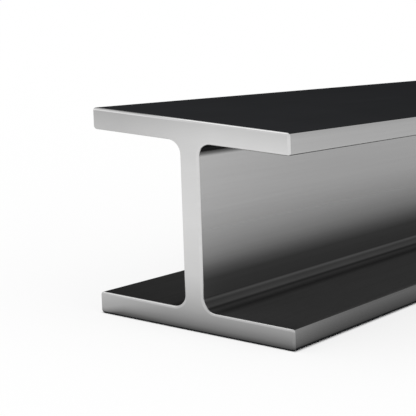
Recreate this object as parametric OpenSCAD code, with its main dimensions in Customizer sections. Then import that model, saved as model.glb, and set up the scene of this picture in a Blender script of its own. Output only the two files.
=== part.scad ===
// A hot-rolled steel H-section, sawn square to length and lying on one flange.
// The length runs along X, the web stands along Z, and the origin is at the middle of the underside.

/* [Length] */
// Length between the two sawn ends
beam_length = 1000; // [300:50:3000]

/* [Section] */
// Width of both flanges
flange_width = 100; // [90:1:130]
// Height over both flanges
section_height = 96; // [80:1:130]
// Thickness of each flange
flange_thickness = 10; // [8:0.5:16]
// Thickness of the web
web_thickness = 9.5; // [6:0.5:14]

/* [Rolled edges] */
// Radius of the roots, where the web runs into the flanges
root_radius = 6; // [3:0.5:12]
// Radius of the toes, at the flanges' long edges
toe_radius = 1.5; // [1.2:0.1:2.5]

/* [Sawn ends] */
// Width of the bevel left round each end where the saw's burr was taken off
end_bevel = 0.8; // [0.3:0.1:1]

/* [Hidden] */
$fn = 64;

half_width = flange_width / 2;
half_height = section_height / 2;
half_web = web_thickness / 2;
// Height of a flange's inner face above the middle of the section
inner_face = half_height - flange_thickness;
// Distance of a flange's middle from the middle of the section
flange_middle = half_height - flange_thickness / 2;
// How far each cutter reaches past the surface that it cuts
cutter_reach = 0.1;
quarter_turn = 90;
steel_colour = [0.62, 0.63, 0.64];

// Section of one flange, a flat bar with four round toes
module flange_section() {
    square([flange_width - 2 * toe_radius, flange_thickness], center = true);
    square([flange_width, flange_thickness - 2 * toe_radius], center = true);
    for (x = [-1, 1], y = [-1, 1])
        translate([x * (half_width - toe_radius), y * (flange_thickness / 2 - toe_radius)])
            circle(r = toe_radius);
}

// Section of the web, from the middle of one flange to the middle of the other, with its four hollow roots
module web_section() {
    root_height = inner_face - root_radius;
    difference() {
        square([web_thickness + 2 * root_radius, 2 * flange_middle], center = true);
        for (x = [-1, 1]) {
            translate([x * (half_web + root_radius), 0])
                square([2 * root_radius, 2 * root_height], center = true);
            for (y = [-1, 1])
                translate([x * (half_web + root_radius), y * root_height])
                    circle(r = root_radius);
        }
    }
}

// The whole section, centred, with its width along X and its height along Y
module beam_section() {
    web_section();
    for (y = [-1, 1])
        translate([0, y * flange_middle])
            flange_section();
}

// Section of the bevel's cutter: X runs out of the beam's surface, and Y runs into the beam from its end
module bevel_profile()
    polygon([
        [-end_bevel - cutter_reach, -cutter_reach],
        [cutter_reach, -cutter_reach],
        [cutter_reach, end_bevel + cutter_reach]
    ]);

// Cutter along a flat of the section, which has the open air on the left of the way from start to finish
module straight_bevel(start, finish) {
    way = finish - start;
    translate(start)
        rotate(atan2(way.y, way.x))
            rotate([quarter_turn, 0, quarter_turn])
                linear_extrude(norm(way))
                    bevel_profile();
}

// Cutter round a toe, over the quarter turn that begins at the given angle
module toe_bevel(centre, angle)
    translate(centre)
        rotate(angle)
            rotate_extrude(angle = quarter_turn)
                translate([toe_radius, 0])
                    bevel_profile();

// Cutter along the hollow of a root, over the quarter turn that begins at the given angle
module root_bevel(centre, angle)
    translate(centre)
        rotate(angle)
            rotate_extrude(angle = quarter_turn)
                translate([root_radius, 0])
                    mirror([1, 0])
                        bevel_profile();

// Cutters for a quarter of the section's outline, from the flange's outer face round to the web
module quarter_bevel() {
    toe_x = half_width - toe_radius;
    root_x = half_web + root_radius;
    straight_bevel([0, half_height], [toe_x, half_height]);
    toe_bevel([toe_x, half_height - toe_radius], 0);
    straight_bevel([half_width, half_height - toe_radius], [half_width, inner_face + toe_radius]);
    toe_bevel([toe_x, inner_face + toe_radius], -quarter_turn);
    straight_bevel([toe_x, inner_face], [root_x, inner_face]);
    root_bevel([root_x, inner_face - root_radius], quarter_turn);
    straight_bevel([half_web, inner_face - root_radius], [half_web, 0]);
}

// The bevel's cutters all round one end
module end_cutters()
    for (x = [0, 1], y = [0, 1])
        mirror([x, 0, 0])
            mirror([0, y, 0])
                quarter_bevel();

// The beam, rolled upright along Z and then laid down along X
module h_beam()
    color(steel_colour)
        translate([0, 0, half_height])
            rotate([quarter_turn, 0, quarter_turn])
                difference() {
                    linear_extrude(beam_length, center = true)
                        beam_section();
                    for (end = [0, 1])
                        mirror([0, 0, end])
                            translate([0, 0, -beam_length / 2])
                                end_cutters();
                }

h_beam();
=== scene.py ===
"""Looks of a one-metre length of steel H-section, lying on a pale studio floor.

Lengths are in metres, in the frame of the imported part: X runs along the beam, Y across the flanges, and Z up
the web. The near end is at -X, and left and right are as the photograph shows them, with +Y on the left.
Tones are display greys from 0 to 255, and grey() makes colours of them.
"""

import math

import bmesh
import bpy
from mathutils import Matrix, Vector


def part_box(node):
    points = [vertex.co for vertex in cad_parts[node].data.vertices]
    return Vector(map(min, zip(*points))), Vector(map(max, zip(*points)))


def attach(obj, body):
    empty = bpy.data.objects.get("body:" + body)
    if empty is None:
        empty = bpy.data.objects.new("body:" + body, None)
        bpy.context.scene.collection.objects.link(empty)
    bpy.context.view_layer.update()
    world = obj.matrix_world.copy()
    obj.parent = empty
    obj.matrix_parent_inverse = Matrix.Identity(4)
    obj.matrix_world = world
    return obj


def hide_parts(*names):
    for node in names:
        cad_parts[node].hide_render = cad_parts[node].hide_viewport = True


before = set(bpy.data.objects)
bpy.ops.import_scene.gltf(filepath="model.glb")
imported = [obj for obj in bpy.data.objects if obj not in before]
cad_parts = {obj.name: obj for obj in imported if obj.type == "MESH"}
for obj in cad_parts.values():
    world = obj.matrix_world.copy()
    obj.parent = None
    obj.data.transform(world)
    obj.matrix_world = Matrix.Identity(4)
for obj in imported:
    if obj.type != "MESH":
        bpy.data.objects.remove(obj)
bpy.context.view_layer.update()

# The section, as the part's source has it. The beam's own length, width and height come from the frame.
FLANGE_THICKNESS = 0.010
WEB_THICKNESS = 0.0095
ROOT_RADIUS = 0.006
TOE_RADIUS = 0.0015
END_BEVEL = 0.0008
BEAM_LOW, BEAM_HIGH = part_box("h_beam")
SIZE = BEAM_HIGH - BEAM_LOW
MIDDLE_HEIGHT = SIZE.z / 2
# Heights at which the flanges' inner faces lie, and at which the roots run out into the web
LOWER_FLANGE = FLANGE_THICKNESS
LOWER_ROOT = LOWER_FLANGE + ROOT_RADIUS
UPPER_FLANGE = SIZE.z - LOWER_FLANGE
UPPER_ROOT = SIZE.z - LOWER_ROOT

# How finely the mesh follows the rounds, the bevel and the length
TOE_STEPS = 6
ROOT_STEPS = 16
BEVEL_STEPS = 4
RING_SPACING = 0.05
# Width of the flat rim beside the bevel, which takes the bevel's finish and its painted highlight
RIM_WIDTH = 0.0004
# How much the large faces outweigh the small ones in the shading
FLAT_WEIGHT = 100

# The beam's materials, in the order of its slots: the scale on the outer faces and in the channels, then the
# paler steel of the web, the toes, the sawn ends and the bevels round them. The outer scale is also on what
# rounds in under the beam, the lowest part of the toes and of the bevels.
OUTER, CHANNEL, WEB, TOE, SAWN, EDGE = range(6)
# The toes' rounds are bare steel where the upward or downward share of their normal is below this
LEVEL_SHARE = 0.72
# At the top of the web, the pale steel runs into the root as long as that share is below this
PALE_ROOT_SHARE = 0.35
# On the left half of an end, its edge takes a painted highlight where the upward share of the face beside it
# is above this. The rest of that half is as the sawn face.
HIGHLIGHT_EDGE_SHARE = 0.3

# The camera's place, then its turn from +X towards +Y, its dip below level and its roll, in degrees
CAMERA_PLACE = Vector((-1.1146, -0.3538, 0.1694))
CAMERA_TURN = 29.305
CAMERA_DIP = 9.001
CAMERA_ROLL = 4.321
LENS_MM = 138.88
SENSOR_MM = 36.0
# The photograph's upright edges lean by this much against its level ones, as the tangent of the angle
FRAME_SKEW = 0.1097

FLOOR_RADIUS = 40.0
FLOOR_SIDES = 96
# The floor lies this far under the beam, so that the two faces don't share one plane
FLOOR_GAP = 0.0001
FLOOR_WHITE = 0.99
# Share by which the camera sees the floor as plain white, which keeps the beam's shadow on it pale. It sets
# in over these distances from the beam's outline, so that the line of contact stays dark.
FLOOR_GLOW = 0.75
GLOW_EDGES = (-0.0005, 0.0010)
WHITE = (1.0, 1.0, 1.0, 1.0)

# The surround lights the beam evenly, and a broad lamp high on the left adds the rest. The lamp's spread is
# in degrees.
SURROUND_FILL = 0.88
LAMP_POWER = 0.45
LAMP_SPREAD = 50
LAMP_FROM = Vector((-0.25, 0.35, 0.9))

# The finish's marks: their size along X, Y and Z, and how much finer detail they carry
SCALE_STREAK = ((0.20, 0.0016, 0.0016), 3.0)
SCALE_PATCH = ((0.06, 0.02, 0.02), 4.0)
SCALE_PIT = ((0.004, 0.0015, 0.0015), 3.0)
ROLLED_STREAK = ((0.15, 0.0011, 0.0011), 4.0)
ROLLED_PATCH = ((0.08, 0.012, 0.012), 3.0)
SAW_LINE = ((0.01, 0.06, 0.0007), 2.0)
SAWN_PATCH = ((0.01, 0.012, 0.012), 3.0)
EDGE_NICK = ((0.004, 0.004, 0.004), 3.0)
# The slant of the saw's lines, in degrees
SAW_SLANT = 14
# Depths of the marks' relief
SCALE_PIT_DEPTH = 0.00003
ROLLED_STREAK_DEPTH = 0.00001
SAW_LINE_DEPTH = 0.00001
# Shares by which the marks brighten and darken the surface
SCALE_SWING = 0.10
ROLLED_STREAK_SWING = 0.06
ROLLED_PATCH_SWING = 0.04
SAWN_SWING = 0.02
EDGE_SWING = 0.08
# Roughness of the finishes, and how far it swings on the rolled and the sawn steel
SCALE_ROUGHNESS = 0.6
ROLLED_ROUGHNESS = 0.20
SAWN_ROUGHNESS = 0.34
EDGE_ROUGHNESS = 0.3
ROUGHNESS_SWING = 0.04

# Tints beside plain grey
SCALE_TINT = (0.96, 0.99, 1.06)
STEEL_TINT = (1.0, 0.998, 0.996)

# The outer scale's tone at the sawn ends. Further along, within about the reach, painted shade darkens it
# towards this share of that brightness.
OUTER_TONE = 41
OUTER_FAR_SHARE = 0.70
OUTER_REACH = 0.35
# Stops of (way, tone). The way runs from the web, round the root and on to the toe, as fold_way() counts it.
# The light and dark lines round the roots are painted highlights and painted shade.
CHANNEL_TONES = [
    (0.0, 46),
    (0.0011, 86),
    (0.0026, 62),
    (0.0054, 73),
    (0.0068, 40),
    (0.0087, 58),
    (0.0118, 46),
    (0.0165, 67),
    (0.0500, 56),
]
# Stops of (height, tone). The web pales from its foot upwards, and the toes darken towards the floor, which is
# painted shade, as is the dark band where the web runs into the upper roots.
WEB_TONES = [
    (0.0200, 64),
    (0.0240, 70),
    (0.0290, 102),
    (0.0320, 122),
    (0.0360, 138),
    (0.0440, 151),
    (0.0520, 156),
    (0.0620, 163),
    (UPPER_ROOT - 0.0002, 170),
    (UPPER_ROOT + 0.0010, 98),
    (UPPER_ROOT + 0.0020, 30),
]
TOE_TONES = [
    (0.0015, 66),
    (0.0030, 88),
    (0.0060, 103),
    (LOWER_FLANGE, 120),
    (UPPER_FLANGE, 169),
    (SIZE.z - 0.0030, 166),
    (SIZE.z, 156),
]
# The sawn ends darken towards the floor, which is painted shade
SAWN_TONES = [
    (0.0010, 79),
    (0.0030, 119),
    (0.0060, 143),
    (0.0100, 164),
    (0.0160, 183),
    (0.0260, 203),
    (0.0500, 214),
    (0.0740, 211),
    (UPPER_FLANGE + 0.0015, 203),
    (SIZE.z - 0.0050, 198),
    (SIZE.z - 0.0030, 194),
    (SIZE.z - 0.0015, 191),
]
# The bevels' tones: a painted highlight along them, with painted shade towards the floor
EDGE_TONES = [
    (0.0010, 70),
    (0.0020, 106),
    (0.0040, 137),
    (0.0084, 152),
    (0.0090, 182),
    (LOWER_FLANGE, 180),
    (LOWER_ROOT, 190),
    (0.0240, 202),
    (0.0400, 212),
    (UPPER_FLANGE + 0.0070, 212),
    (UPPER_FLANGE + 0.0085, 206),
    (SIZE.z, 196),
]
# The web's foot is dull scale below the first height, and bare steel above the second
FOOT_HEIGHTS = (0.0200, 0.0560)
# Painted light and shade: away from the sawn ends, within about the reach, the pale sides come to these shares
# of their brightness there. The web's are for its foot, below the first height, and for what is above the
# second, and the toes' are for the lower and the upper ones.
WEB_FAR_SHARES = (1.15, 0.66)
WEB_FAR_HEIGHTS = (0.022, 0.032)
WEB_REACH = 0.15
TOE_FAR_SHARES = (0.24, 0.74)
TOE_REACHES = (0.055, 0.12)
# Scale still clouds the lower toes, which are bare metal by this share at the bottom, and wholly at the top
TOE_BARE_SHARE = 0.38
# Deep inside the channels the scale comes to the far share of its brightness, within about the reach, which
# makes up for the lesser light there. At their open ends it has the first near share in the root, up to the
# first way, and the second one on the flange, beyond the second way.
CHANNEL_NEAR_SHARES = (1.0, 0.72)
CHANNEL_NEAR_WAYS = (0.010, 0.017)
CHANNEL_FAR_SHARE = 1.5
CHANNEL_REACH = 0.045
# The left channel's scale is darker than the right one's, which is painted shade. The change, over this span,
# lies inside the web.
LEFT_SHADE_SHARE = 0.75
LEFT_SHADE_SPAN = (-0.001, 0.001)
# Painted shade makes the scale in the upper roots darker than in the lower ones, up to the first way, and it
# is no darker beyond the second
UPPER_ROOT_SHADE_SHARE = 0.3
UPPER_ROOT_WAYS = (0.012, 0.030)
# On the sawn ends, the painted shade along the floor keeps to this height, and thins out between these shares
# of the way to the left. Above it, tones are taken from higher up towards the left, which slants the painted
# shade.
# At the far left that is by this much for each metre of height, and by no more than the most.
SAWN_SHADE_HEIGHT = 0.0023
SAWN_SHADE_FADE = (0.75, 0.95)
SAWN_SHADE_LIFT = 2.9
SAWN_MOST_LIFT = 0.0077
# Painted light and shade make the top of the sawn ends brighter on the right and duller on the left, over this
# span across them
SAWN_TOP_SPAN = (-0.012, 0.035)
SAWN_TOP_SHARES = (1.09, 0.84)
# Over this span towards the left, the painted highlight on the ground edge comes to these shares of its
# brightness, on the lower flange, on the upper flange and at the very top
EDGE_LEFT_SPAN = (0.0, SIZE.y / 4)
EDGE_LEFT_SHARES = (1.04, 1.19, 0.1)


def arc(centre, radius, first_degrees, steps):
    """Points of a quarter turn, clockwise from the given angle."""
    angles = [math.radians(first_degrees - 90 * i / steps) for i in range(steps + 1)]
    return [(centre[0] + radius * math.cos(a), centre[1] + radius * math.sin(a)) for a in angles]


def quarter_outline(inset):
    """The outline (y, z) from a flange's outer face round to the web, on the +Y side above mid-height.
    It is drawn in by inset, as the bevel draws it in at the ends."""
    inner_face = MIDDLE_HEIGHT - FLANGE_THICKNESS
    toe_y = SIZE.y / 2 - TOE_RADIUS
    root_centre = (WEB_THICKNESS / 2 + ROOT_RADIUS, inner_face - ROOT_RADIUS)
    outer_toe = arc((toe_y, MIDDLE_HEIGHT - TOE_RADIUS), TOE_RADIUS - inset, 90, TOE_STEPS)
    inner_toe = arc((toe_y, inner_face + TOE_RADIUS), TOE_RADIUS - inset, 0, TOE_STEPS)
    root = arc(root_centre, ROOT_RADIUS + inset, 180, ROOT_STEPS)
    return outer_toe + inner_toe + root[::-1]


def section_outline(inset):
    """The whole outline once round, with z measured from the floor."""
    quarter = quarter_outline(inset)
    half = quarter + [(y, -z) for y, z in reversed(quarter)]
    other_half = [(-y, z) for y, z in reversed(half)]
    return [(y, z + MIDDLE_HEIGHT) for y, z in half + other_half]


def ring_places():
    """(x, inset) of each ring of the mesh, from the near end to the far end. Each end begins with its flat
    rim and goes on with its bevel, which is rounded over."""
    angles = [math.radians(90 * i / BEVEL_STEPS) for i in range(BEVEL_STEPS + 1)]
    bevel = [(END_BEVEL * (1 - math.cos(a)), END_BEVEL * (1 - math.sin(a))) for a in angles]
    edge = [(0.0, END_BEVEL + RIM_WIDTH)] + bevel
    near = [(BEAM_LOW.x + depth, inset) for depth, inset in edge]
    far = [(BEAM_HIGH.x - depth, inset) for depth, inset in reversed(edge)]
    bays = round(SIZE.x / RING_SPACING)
    between = [(BEAM_LOW.x + SIZE.x * i / bays, 0.0) for i in range(1, bays)]
    return near + between + far


def rolled_finish(face):
    """The material of a lengthwise face, from where it lies and how level it is."""
    place = face.calc_center_median()
    levelness = abs(face.normal.z)
    from_middle = abs(place.z - MIDDLE_HEIGHT)
    far_from_web = abs(place.y) > SIZE.y / 4
    if place.z < TOE_RADIUS:
        return OUTER
    if far_from_web and levelness < LEVEL_SHARE:
        return TOE
    if from_middle > MIDDLE_HEIGHT - TOE_RADIUS:
        return OUTER
    if from_middle < UPPER_ROOT - MIDDLE_HEIGHT:
        return WEB
    if place.z > MIDDLE_HEIGHT and levelness < PALE_ROOT_SHARE:
        return WEB
    return CHANNEL


def edge_finish(face, beside):
    """The material of a face on the bevel or its rim, from where it lies and which way the lengthwise face
    beside it looks. The edge takes a painted highlight on the right and along the tops, and is dull along the
    floor."""
    place = face.calc_center_median()
    if place.z < END_BEVEL:
        return OUTER
    if place.y < 0 or beside.normal.z > HIGHLIGHT_EDGE_SHARE:
        return EDGE
    return SAWN


def ring_faces(bm):
    """The faces from each ring of points to the next, in rows, and the cap on each sawn end."""
    rings = [
        [bm.verts.new((x, y, z)) for y, z in section_outline(inset)]
        for x, inset in ring_places()
    ]
    rows = []
    for ring, following in zip(rings, rings[1:]):
        corners = [(ring[i - 1], ring[i], following[i], following[i - 1]) for i in range(len(ring))]
        rows.append([bm.faces.new(four) for four in corners])
    caps = [bm.faces.new(ring) for ring in (rings[0], rings[-1])]
    bmesh.ops.recalc_face_normals(bm, faces=bm.faces)
    return rows, caps


def finish_faces(rows, caps):
    """Gives each face its material. The rim and the steps of the bevel take the rows next to each end."""
    edge_rows = BEVEL_STEPS + 1
    lengthwise_rows = rows[edge_rows:-edge_rows]
    for row in rows[:edge_rows] + rows[-edge_rows:]:
        for face, beside in zip(row, lengthwise_rows[0]):
            face.material_index = edge_finish(face, beside)
    for row in lengthwise_rows:
        for face in row:
            face.material_index = rolled_finish(face)
    for face in caps:
        face.material_index = SAWN


def build_beam(materials):
    """The beam as one closed mesh: rings along its length, and a cap on each sawn end."""
    bm = bmesh.new()
    finish_faces(*ring_faces(bm))
    for face in bm.faces:
        face.smooth = True
    mesh = bpy.data.meshes.new("steel_h_beam")
    bm.to_mesh(mesh)
    bm.free()
    for material in materials:
        mesh.materials.append(material)
    beam = bpy.data.objects.new("steel_h_beam", mesh)
    bpy.context.scene.collection.objects.link(beam)
    # The flats keep their level shading right up to the rounds beside them
    weighted = beam.modifiers.new("flats_stay_flat", "WEIGHTED_NORMAL")
    weighted.mode = "FACE_AREA"
    weighted.weight = FLAT_WEIGHT
    return beam


def grey(tone, tint=(1.0, 1.0, 1.0)):
    """The linear colour that the sRGB curve displays as a grey tone from 0 to 255, with a slight tint."""
    share = tone / 255
    linear = share / 12.92 if share <= 0.04045 else ((share + 0.055) / 1.055) ** 2.4
    return (*(linear * part for part in tint), 1.0)


def new_material(name, metallic, roughness):
    """A new material and its shader, which is glossy only as far as it is bare metal."""
    material = bpy.data.materials.new(name)
    material.use_nodes = True
    shader = material.node_tree.nodes["Principled BSDF"]
    shader.inputs["Metallic"].default_value = metallic
    shader.inputs["Roughness"].default_value = roughness
    shader.inputs["Specular IOR Level"].default_value = 0.0
    return material, shader


def add_node(tree, kind, inputs=None, **settings):
    """A new node. Each input is given as a plain value, or as the output that feeds it."""
    node = tree.nodes.new(kind)
    for name, value in settings.items():
        setattr(node, name, value)
    for name, value in (inputs or {}).items():
        if isinstance(value, bpy.types.NodeSocket):
            tree.links.new(value, node.inputs[name])
        else:
            node.inputs[name].default_value = value
    return node


def calculate(tree, operation, first, second=0.0):
    """The result of a sum on one or two numbers."""
    return add_node(tree, "ShaderNodeMath", {0: first, 1: second}, operation=operation).outputs[0]


def climb(tree, value, start, stop, low, high):
    """A number that goes from low to high as the value goes from start to stop, and stays level beyond."""
    ends = {"Value": value, "From Min": start, "From Max": stop, "To Min": low, "To Max": high}
    return add_node(tree, "ShaderNodeMapRange", ends).outputs["Result"]


def object_place(tree):
    """The point that is shaded, in the object's own frame."""
    return add_node(tree, "ShaderNodeTexCoord").outputs["Object"]


def place_part(tree, axis):
    """One coordinate of that point."""
    return add_node(tree, "ShaderNodeSeparateXYZ", {0: object_place(tree)}).outputs[axis]


def marks(tree, size, detail, slant=0):
    """Noise from 0 to 1, whose marks have about the given size along X, Y and Z and are slanted about X."""
    turn = {"Vector": object_place(tree), "Angle": math.radians(slant)}
    turned = add_node(tree, "ShaderNodeVectorRotate", turn, rotation_type="X_AXIS")
    squeeze = {0: turned.outputs[0], 1: tuple(1 / length for length in size)}
    place = add_node(tree, "ShaderNodeVectorMath", squeeze, operation="MULTIPLY")
    grain = {"Vector": place.outputs[0], "Scale": 1.0, "Detail": detail}
    return add_node(tree, "ShaderNodeTexNoise", grain).outputs["Fac"]


def swing(tree, noise, middle, amount):
    """Noise from 0 to 1, turned into a number that swings about the middle by the amount."""
    return climb(tree, noise, 0.0, 1.0, middle - amount, middle + amount)


def tone_ramp(tree, value, reach, stops, tint):
    """A colour that changes with the value, from stops of (value, tone), all of them within the reach."""
    ramp = add_node(tree, "ShaderNodeValToRGB", {"Fac": calculate(tree, "DIVIDE", value, reach)})
    points = ramp.color_ramp.elements
    points.remove(points[1])
    for number, (at, tone) in enumerate(stops):
        point = points[0] if number == 0 else points.new(at / reach)
        point.position = at / reach
        point.color = grey(tone, tint)
    return ramp.outputs["Color"]


def fold_way(tree):
    """How far a point lies round the fold from the web to a flange, counted from where the root leaves the
    web. The way across and the way towards the flange are added up."""
    height = place_part(tree, "Z")
    nearer = calculate(tree, "MINIMUM", height, calculate(tree, "SUBTRACT", SIZE.z, height))
    across = calculate(tree, "ABSOLUTE", place_part(tree, "Y"))
    start = LOWER_ROOT - WEB_THICKNESS / 2
    return calculate(tree, "ADD", calculate(tree, "SUBTRACT", across, nearer), start)


def away_from_ends(tree, near, far, reach):
    """A share that goes from near, at the sawn ends, towards far, within about the reach. It paints light and
    shade along the beam.
    """
    from_middle = calculate(tree, "ABSOLUTE", place_part(tree, "X"))
    from_end = calculate(tree, "SUBTRACT", SIZE.x / 2, from_middle)
    reaches = calculate(tree, "DIVIDE", from_end, reach)
    nearness = calculate(tree, "EXPONENT", calculate(tree, "MULTIPLY", reaches, -1.0))
    return climb(tree, nearness, 0.0, 1.0, far, near)


def add_bump(tree, shader, height, depth):
    """Relief of the given depth, where the height goes from 0 to 1."""
    bump = add_node(tree, "ShaderNodeBump", {"Height": height, "Distance": depth, "Strength": 1.0})
    tree.links.new(bump.outputs["Normal"], shader.inputs["Normal"])


def brighten(tree, colour, *factors):
    """The colour, multiplied by each of the factors."""
    for factor in factors:
        scaled = add_node(tree, "ShaderNodeVectorMath", {0: colour, "Scale": factor}, operation="SCALE")
        colour = scaled.outputs[0]
    return colour


def finish_scale(tree, shader, colour, *factors):
    """Dull rolling scale: faint lengthwise streaks, cloudy patches and fine pits, times the given factors of
    painted light and shade.
    """
    streaks = swing(tree, marks(tree, *SCALE_STREAK), 1.0, SCALE_SWING)
    patches = swing(tree, marks(tree, *SCALE_PATCH), 1.0, SCALE_SWING)
    tree.links.new(brighten(tree, colour, streaks, patches, *factors), shader.inputs["Base Color"])
    add_bump(tree, shader, marks(tree, *SCALE_PIT), SCALE_PIT_DEPTH)


def finish_rolled(tree, shader, colour, fading):
    """Pale rolled steel, with the rolls' faint lengthwise streaks and soft patches, times the painted light
    and shade that it is given along the beam.
    """
    streaks = marks(tree, *ROLLED_STREAK)
    patches = marks(tree, *ROLLED_PATCH)
    streak_share = swing(tree, streaks, 1.0, ROLLED_STREAK_SWING)
    patch_share = swing(tree, patches, 1.0, ROLLED_PATCH_SWING)
    tree.links.new(brighten(tree, colour, streak_share, patch_share, fading), shader.inputs["Base Color"])
    tree.links.new(swing(tree, patches, ROLLED_ROUGHNESS, ROUGHNESS_SWING), shader.inputs["Roughness"])
    add_bump(tree, shader, streaks, ROLLED_STREAK_DEPTH)


def outer_scale():
    """Blue-black scale on the outer faces of the flanges, darkened by painted shade away from the sawn ends.
    """
    material, shader = new_material("outer_scale", 0.0, SCALE_ROUGHNESS)
    tree = material.node_tree
    colour = add_node(tree, "ShaderNodeRGB").outputs[0]
    colour.default_value = grey(OUTER_TONE, SCALE_TINT)
    finish_scale(tree, shader, colour, away_from_ends(tree, 1.0, OUTER_FAR_SHARE, OUTER_REACH))
    return material


def channel_scale():
    """Scale on the inner faces of the flanges and in the roots, with painted highlight and shade lines round
    the roots. Painted light and shade also brighten it deep inside and darken the left channel and the upper
    roots.
    """
    material, shader = new_material("channel_scale", 0.0, SCALE_ROUGHNESS)
    tree = material.node_tree
    way = fold_way(tree)
    near = climb(tree, way, *CHANNEL_NEAR_WAYS, *CHANNEL_NEAR_SHARES)
    # Painted shade, darker in the left channel
    left = climb(tree, place_part(tree, "Y"), *LEFT_SHADE_SPAN, 1.0, LEFT_SHADE_SHARE)
    # Painted shade in the upper roots
    upper_root_shade = climb(tree, way, *UPPER_ROOT_WAYS, UPPER_ROOT_SHADE_SHARE, 1.0)
    upper = climb(tree, place_part(tree, "Z"), LOWER_ROOT, UPPER_ROOT, 1.0, upper_root_shade)
    colour = tone_ramp(tree, way, SIZE.y, CHANNEL_TONES, STEEL_TINT)
    fading = away_from_ends(tree, near, CHANNEL_FAR_SHARE, CHANNEL_REACH)
    finish_scale(tree, shader, colour, fading, left, upper)
    return material


def web_steel():
    """The web, dull at its foot and pale above. Painted shade darkens its foot and the band where it runs into
    the upper roots, and painted light and shade change it along the beam.
    """
    material, shader = new_material("web_steel", 1.0, ROLLED_ROUGHNESS)
    tree = material.node_tree
    height = place_part(tree, "Z")
    far = climb(tree, height, *WEB_FAR_HEIGHTS, *WEB_FAR_SHARES)
    colour = tone_ramp(tree, height, SIZE.z, WEB_TONES, STEEL_TINT)
    finish_rolled(tree, shader, colour, away_from_ends(tree, 1.0, far, WEB_REACH))
    tree.links.new(climb(tree, height, *FOOT_HEIGHTS, 0.0, 1.0), shader.inputs["Metallic"])
    return material


def toe_steel():
    """The flanges' long narrow edges, with painted shade towards the floor and along the beam."""
    material, shader = new_material("toe_steel", 1.0, ROLLED_ROUGHNESS)
    tree = material.node_tree
    height = place_part(tree, "Z")
    far = climb(tree, height, LOWER_FLANGE, UPPER_FLANGE, *TOE_FAR_SHARES)
    reach = climb(tree, height, LOWER_FLANGE, UPPER_FLANGE, *TOE_REACHES)
    colour = tone_ramp(tree, height, SIZE.z, TOE_TONES, STEEL_TINT)
    finish_rolled(tree, shader, colour, away_from_ends(tree, 1.0, far, reach))
    bare = climb(tree, height, TOE_RADIUS, LOWER_FLANGE, TOE_BARE_SHARE, 1.0)
    tree.links.new(bare, shader.inputs["Metallic"])
    return material


def shade_lift(tree, across, height):
    """How far above its own height a point on a sawn end takes its tone, which slants the painted shade. This
    grows up to the top of the lower flange, and is back at 0 at twice that height. Towards the left it grows
    with the cube of the way, and its limit grows with the square."""
    leftness = climb(tree, across, 0.0, SIZE.y / 2, 0.0, 1.0)
    folded = calculate(tree, "MINIMUM", height, calculate(tree, "SUBTRACT", 2 * LOWER_FLANGE, height))
    shade_height = climb(tree, leftness, *SAWN_SHADE_FADE, SAWN_SHADE_HEIGHT, 0.0)
    above_shade = calculate(tree, "MAXIMUM", calculate(tree, "SUBTRACT", folded, shade_height), 0.0)
    lift = calculate(tree, "MULTIPLY", calculate(tree, "POWER", leftness, 3.0), SAWN_SHADE_LIFT)
    most = calculate(tree, "MULTIPLY", calculate(tree, "POWER", leftness, 2.0), SAWN_MOST_LIFT)
    return calculate(tree, "MINIMUM", calculate(tree, "MULTIPLY", above_shade, lift), most)


def sawn_steel():
    """Bright steel on the sawn ends, with the blade's fine slanted lines, painted shade towards the floor and
    painted light and shade across the top.
    """
    material, shader = new_material("sawn_steel", 1.0, SAWN_ROUGHNESS)
    tree = material.node_tree
    across = place_part(tree, "Y")
    height = place_part(tree, "Z")
    lifted = calculate(tree, "ADD", height, shade_lift(tree, across, height))
    colour = tone_ramp(tree, lifted, SIZE.z, SAWN_TONES, STEEL_TINT)
    top_light_and_shade = climb(tree, across, *SAWN_TOP_SPAN, *SAWN_TOP_SHARES)
    top_light_share = climb(tree, height, UPPER_ROOT, UPPER_FLANGE, 1.0, top_light_and_shade)
    lines = marks(tree, *SAW_LINE, SAW_SLANT)
    line_share = swing(tree, lines, 1.0, SAWN_SWING)
    patch_share = swing(tree, marks(tree, *SAWN_PATCH), 1.0, SAWN_SWING)
    tree.links.new(brighten(tree, colour, top_light_share, line_share, patch_share), shader.inputs["Base Color"])
    tree.links.new(swing(tree, lines, SAWN_ROUGHNESS, ROUGHNESS_SWING), shader.inputs["Roughness"])
    add_bump(tree, shader, lines, SAW_LINE_DEPTH)
    return material


def ground_edge_highlight():
    """The bevels and their rims, where the burr was ground off, with a painted highlight and painted shade
    towards the floor.
    """
    material, shader = new_material("ground_edge_highlight", 1.0, EDGE_ROUGHNESS)
    tree = material.node_tree
    across = place_part(tree, "Y")
    height = place_part(tree, "Z")
    colour = tone_ramp(tree, height, SIZE.z, EDGE_TONES, STEEL_TINT)
    nicks = swing(tree, marks(tree, *EDGE_NICK), 1.0, EDGE_SWING)
    lower, upper, top = (climb(tree, across, *EDGE_LEFT_SPAN, 1.0, share) for share in EDGE_LEFT_SHARES)
    below_top = climb(tree, height, LOWER_FLANGE, UPPER_FLANGE, lower, upper)
    left_share = climb(tree, height, SIZE.z - END_BEVEL, SIZE.z, below_top, top)
    tree.links.new(brighten(tree, colour, nicks, left_share), shader.inputs["Base Color"])
    return material


def camera_axes():
    """The directions to the right, up and back of the camera, as columns, before its frame is skewed."""
    turn, dip, roll = (math.radians(angle) for angle in (CAMERA_TURN, CAMERA_DIP, CAMERA_ROLL))
    ahead = Vector((math.cos(turn) * math.cos(dip), math.sin(turn) * math.cos(dip), -math.sin(dip)))
    level_right = ahead.cross(Vector((0, 0, 1))).normalized()
    level_up = level_right.cross(ahead)
    right = math.cos(roll) * level_right + math.sin(roll) * level_up
    up = math.cos(roll) * level_up - math.sin(roll) * level_right
    return Matrix((right, up, -ahead)).transposed()


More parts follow.
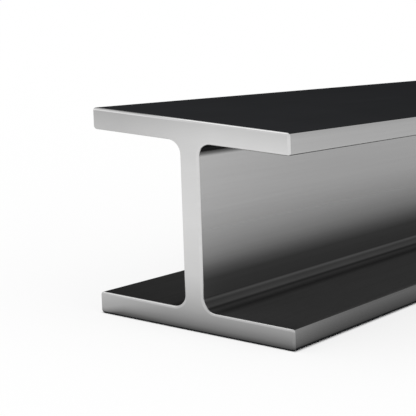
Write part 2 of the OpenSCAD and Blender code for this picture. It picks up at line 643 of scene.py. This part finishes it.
def add_camera():
    """The camera stands where the photograph's did, and its frame is skewed as the photograph's is. The skew
    lies between the camera and the stand that carries it, so the camera has a square frame off the stand."""
    stand = bpy.data.objects.new("camera_stand", None)
    stand.matrix_world = Matrix.Translation(CAMERA_PLACE) @ camera_axes().to_4x4()
    data = bpy.data.cameras.new("camera")
    data.lens = LENS_MM
    data.sensor_width = SENSOR_MM
    camera = bpy.data.objects.new("camera", data)
    for thing in (stand, camera):
        bpy.context.scene.collection.objects.link(thing)
    camera.parent = stand
    skew = Matrix.Identity(4)
    lean = Vector((FRAME_SKEW, 1)).normalized()
    skew[0][1], skew[1][1] = lean
    camera.matrix_parent_inverse = skew
    bpy.context.scene.camera = camera


def seen_directly(tree):
    """1 for the rays that show a thing as background: the camera's, and those mirrored or let through."""
    path = add_node(tree, "ShaderNodeLightPath").outputs
    mirrored = calculate(tree, "MAXIMUM", path["Is Glossy Ray"], path["Is Transmission Ray"])
    return calculate(tree, "MAXIMUM", path["Is Camera Ray"], mirrored)


def beyond(tree, axis, limit):
    """How far out along an axis a point lies beyond a limit, on either side of the middle."""
    return calculate(tree, "SUBTRACT", calculate(tree, "ABSOLUTE", place_part(tree, axis)), limit)


def white_floor():
    """Plain white, which the camera sees mostly as white light, so that the beam's shadow on it is pale."""
    material, shader = new_material("white_floor", 0.0, 1.0)
    shader.inputs["Base Color"].default_value = (FLOOR_WHITE, FLOOR_WHITE, FLOOR_WHITE, 1.0)
    tree = material.node_tree
    glow = add_node(tree, "ShaderNodeEmission", {"Color": WHITE, "Strength": 1.0})
    clear = calculate(tree, "MAXIMUM", beyond(tree, "X", SIZE.x / 2), beyond(tree, "Y", SIZE.y / 2))
    whiteness = climb(tree, clear, *GLOW_EDGES, 0.0, FLOOR_GLOW)
    share = calculate(tree, "MULTIPLY", seen_directly(tree), whiteness)
    mixed = add_node(tree, "ShaderNodeMixShader", {0: share, 1: shader.outputs[0], 2: glow.outputs[0]})
    tree.links.new(mixed.outputs[0], tree.nodes["Material Output"].inputs["Surface"])
    return material


def add_floor():
    """The floor, a wide disc just under the beam."""
    bm = bmesh.new()
    bmesh.ops.create_circle(bm, cap_ends=True, segments=FLOOR_SIDES, radius=FLOOR_RADIUS)
    mesh = bpy.data.meshes.new("floor")
    bm.to_mesh(mesh)
    bm.free()
    mesh.materials.append(white_floor())
    floor = bpy.data.objects.new("floor", mesh)
    floor.location.z = -FLOOR_GAP
    bpy.context.scene.collection.objects.link(floor)


def add_light():
    """An even surround that is seen as white, and one broad, soft lamp."""
    world = bpy.data.worlds.new("studio")
    bpy.context.scene.world = world
    world.use_nodes = True
    tree = world.node_tree
    back = tree.nodes["Background"]
    back.inputs["Color"].default_value = WHITE
    strength = calculate(tree, "MAXIMUM", seen_directly(tree), SURROUND_FILL)
    tree.links.new(strength, back.inputs["Strength"])
    lamp = bpy.data.lights.new("soft_lamp", "SUN")
    lamp.energy = LAMP_POWER
    lamp.angle = math.radians(LAMP_SPREAD)
    holder = bpy.data.objects.new("soft_lamp", lamp)
    holder.rotation_mode = "QUATERNION"
    holder.rotation_quaternion = LAMP_FROM.to_track_quat("Z", "Y")
    bpy.context.scene.collection.objects.link(holder)


add_camera()
add_floor()
add_light()
beam = build_beam([outer_scale(), channel_scale(), web_steel(), toe_steel(), sawn_steel(), ground_edge_highlight()])
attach(beam, "root")
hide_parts("h_beam")
bpy.context.scene.view_settings.view_transform = "Standard"
